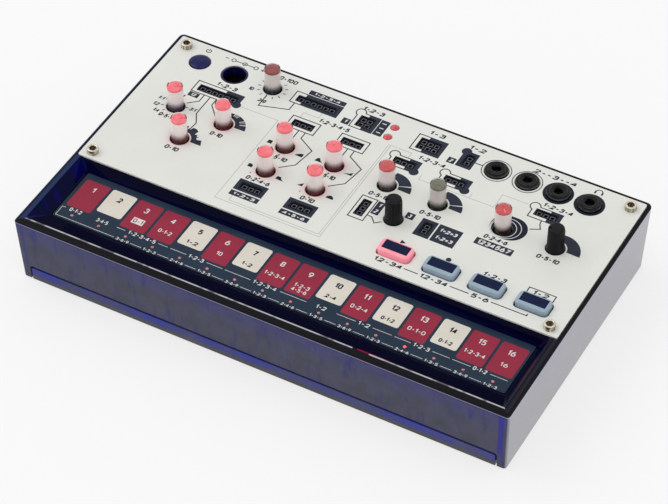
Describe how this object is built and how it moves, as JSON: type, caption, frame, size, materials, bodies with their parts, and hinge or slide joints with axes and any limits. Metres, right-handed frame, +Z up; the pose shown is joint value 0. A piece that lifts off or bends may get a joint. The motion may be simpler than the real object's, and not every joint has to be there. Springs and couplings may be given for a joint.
{
  "type": "modular synthesizer",
  "caption": "Palm-sized modular synthesizer: tinted case, white panel with knobs, patch sockets, audio jacks and buttons, and a touch keyboard in a sunken tray.",
  "frame": {"origin": "on the surface that the feet stand on, under the middle of the case", "axes": "+X to the player's right along the keyboard, +Y to the back, +Z up"},
  "size_m": [0.193, 0.115, 0.039],
  "materials": {
    "tinted_case": "clear dark blue plastic, polished",
    "panel_lacquer": "satin off-white",
    "touch_print": "satin slate blue with printed keys",
    "circuit_board": "solder mask",
    "clear_knob": "clear plastic, lit pink from below",
    "black_plastic": "fine matt",
    "button_plastic": "pale blue-grey, see-through",
    "lit_button_plastic": "lit pink from below",
    "power_dome": "polished dark blue",
    "red_light": "glowing red",
    "nickel_screw": "nickel plated",
    "rubber_foot": "matt",
    "contact_steel": "bright",
    "ribbon": "flat film",
    "speaker_metal": "dark"
  },
  "bodies": {
    "case": {"upper_case": "tinted_case", "bottom_case": "tinted_case", "top_panel": "panel_lacquer", "battery_contact_left": "contact_steel", "battery_contact_right": "contact_steel", "main_board": "circuit_board", "ribbon_cable": "ribbon", "touch_overlay": "touch_print", "touch_board": "circuit_board", "source_patch_socket": "black_plastic", "sequencer_patch_socket": "black_plastic", "function_1_patch_socket": "black_plastic", "function_2_patch_socket": "black_plastic", "release_patch_socket": "black_plastic", "time_patch_socket": "black_plastic", "random_patch_socket": "black_plastic", "split_patch_socket": "black_plastic", "voltage_patch_socket": "black_plastic", "gate_1_patch_socket": "black_plastic", "gate_2_patch_socket": "black_plastic", "space_patch_socket": "black_plastic", "utility_in_patch_socket": "black_plastic", "utility_out_patch_socket": "black_plastic", "audio_jack_1": "black_plastic", "audio_jack_2": "black_plastic", "audio_jack_3": "black_plastic", "audio_jack_4": "black_plastic", "power_inlet": "black_plastic", "signal_light_1": "red_light", "signal_light_2": "red_light", "panel_screw_1": "nickel_screw", "panel_screw_2": "nickel_screw", "panel_screw_3": "nickel_screw", "panel_screw_4": "nickel_screw", "case_screw_1": "nickel_screw", "case_screw_2": "nickel_screw", "foot_1": "rubber_foot", "foot_2": "rubber_foot", "foot_3": "rubber_foot", "foot_4": "rubber_foot", "loudspeaker": "speaker_metal"},
    "clock_knob": {"clock_knob": "clear_knob"},
    "ratio_knob": {"ratio_knob": "clear_knob"},
    "mod_knob": {"mod_knob": "clear_knob"},
    "fold_knob": {"fold_knob": "clear_knob"},
    "attack_knob": {"attack_knob": "clear_knob"},
    "shape_knob": {"shape_knob": "clear_knob"},
    "release_knob": {"release_knob": "clear_knob"},
    "time_knob": {"time_knob": "clear_knob"},
    "cutoff_1_knob": {"cutoff_1_knob": "clear_knob"},
    "cutoff_2_knob": {"cutoff_2_knob": "clear_knob"},
    "mix_knob": {"mix_knob": "black_plastic"},
    "amount_knob": {"amount_knob": "clear_knob"},
    "volume_knob": {"volume_knob": "black_plastic"},
    "function_button_1": {"function_button_1": "lit_button_plastic"},
    "function_button_2": {"function_button_2": "button_plastic"},
    "function_button_3": {"function_button_3": "button_plastic"},
    "function_button_4": {"function_button_4": "button_plastic"},
    "power_button": {"power_button": "power_dome"},
    "battery_door": {"battery_door": "tinted_case"}
  },
  "joints": [
    {"name": "clock_turn", "type": "hinge", "parent": "case", "child": "clock_knob", "pos_m": [-0.05087, 0.046, 0.0289], "axis": [0, 0, 1], "range_deg": [-189, 91]},
    {"name": "ratio_turn", "type": "hinge", "parent": "case", "child": "ratio_knob", "pos_m": [-0.0771, 0.0207, 0.0289], "axis": [0, 0, 1], "range_deg": [-70, 210]},
    {"name": "mod_turn", "type": "hinge", "parent": "case", "child": "mod_knob", "pos_m": [-0.057, 0.0207, 0.0289], "axis": [0, 0, 1], "range_deg": [0, 280]},
    {"name": "fold_turn", "type": "hinge", "parent": "case", "child": "fold_knob", "pos_m": [-0.06705, 0.0066, 0.0289], "axis": [0, 0, 1], "range_deg": [-77, 203]},
    {"name": "attack_turn", "type": "hinge", "parent": "case", "child": "attack_knob", "pos_m": [-0.03145, 0.0207, 0.0289], "axis": [0, 0, 1], "range_deg": [-238, 42]},
    {"name": "shape_turn", "type": "hinge", "parent": "case", "child": "shape_knob", "pos_m": [-0.01134, 0.0207, 0.0289], "axis": [0, 0, 1], "range_deg": [-196, 84]},
    {"name": "release_turn", "type": "hinge", "parent": "case", "child": "release_knob", "pos_m": [-0.03145, 0.0066, 0.0289], "axis": [0, 0, 1], "range_deg": [-217, 63]},
    {"name": "time_turn", "type": "hinge", "parent": "case", "child": "time_knob", "pos_m": [-0.01134, 0.0066, 0.0289], "axis": [0, 0, 1], "range_deg": [-112, 168]},
    {"name": "cutoff_1_turn", "type": "hinge", "parent": "case", "child": "cutoff_1_knob", "pos_m": [0.00985, 0.0207, 0.0289], "axis": [0, 0, 1], "range_deg": [-7, 273]},
    {"name": "cutoff_2_turn", "type": "hinge", "parent": "case", "child": "cutoff_2_knob", "pos_m": [0.03007, 0.0207, 0.0289], "axis": [0, 0, 1], "range_deg": [-28, 252]},
    {"name": "mix_turn", "type": "hinge", "parent": "case", "child": "mix_knob", "pos_m": [0.0199, 0.0066, 0.0289], "axis": [0, 0, 1], "range_deg": [-268.8, 11.2]},
    {"name": "amount_turn", "type": "hinge", "parent": "case", "child": "amount_knob", "pos_m": [0.0555, 0.0207, 0.0289], "axis": [0, 0, 1], "range_deg": [0, 280]},
    {"name": "volume_turn", "type": "hinge", "parent": "case", "child": "volume_knob", "pos_m": [0.0758, 0.0207, 0.0289], "axis": [0, 0, 1], "range_deg": [-259, 21]},
    {"name": "function_button_1_press", "type": "slide", "parent": "case", "child": "function_button_1", "axis": [0, 0, -1], "range_m": [0, 0.0008], "stiffness_N_per_m": 300, "springref_m": -0.001},
    {"name": "function_button_2_press", "type": "slide", "parent": "case", "child": "function_button_2", "axis": [0, 0, -1], "range_m": [0, 0.0008], "stiffness_N_per_m": 300, "springref_m": -0.001},
    {"name": "function_button_3_press", "type": "slide", "parent": "case", "child": "function_button_3", "axis": [0, 0, -1], "range_m": [0, 0.0008], "stiffness_N_per_m": 300, "springref_m": -0.001},
    {"name": "function_button_4_press", "type": "slide", "parent": "case", "child": "function_button_4", "axis": [0, 0, -1], "range_m": [0, 0.0008], "stiffness_N_per_m": 300, "springref_m": -0.001},
    {"name": "power_button_press", "type": "slide", "parent": "case", "child": "power_button", "axis": [0, 0, -1], "range_m": [0, 0.0008], "stiffness_N_per_m": 300, "springref_m": -0.001},
    {"name": "battery_door_slide", "type": "slide", "parent": "case", "child": "battery_door", "axis": [0, 1, 0], "range_m": [0, 0.034]}
  ]
}
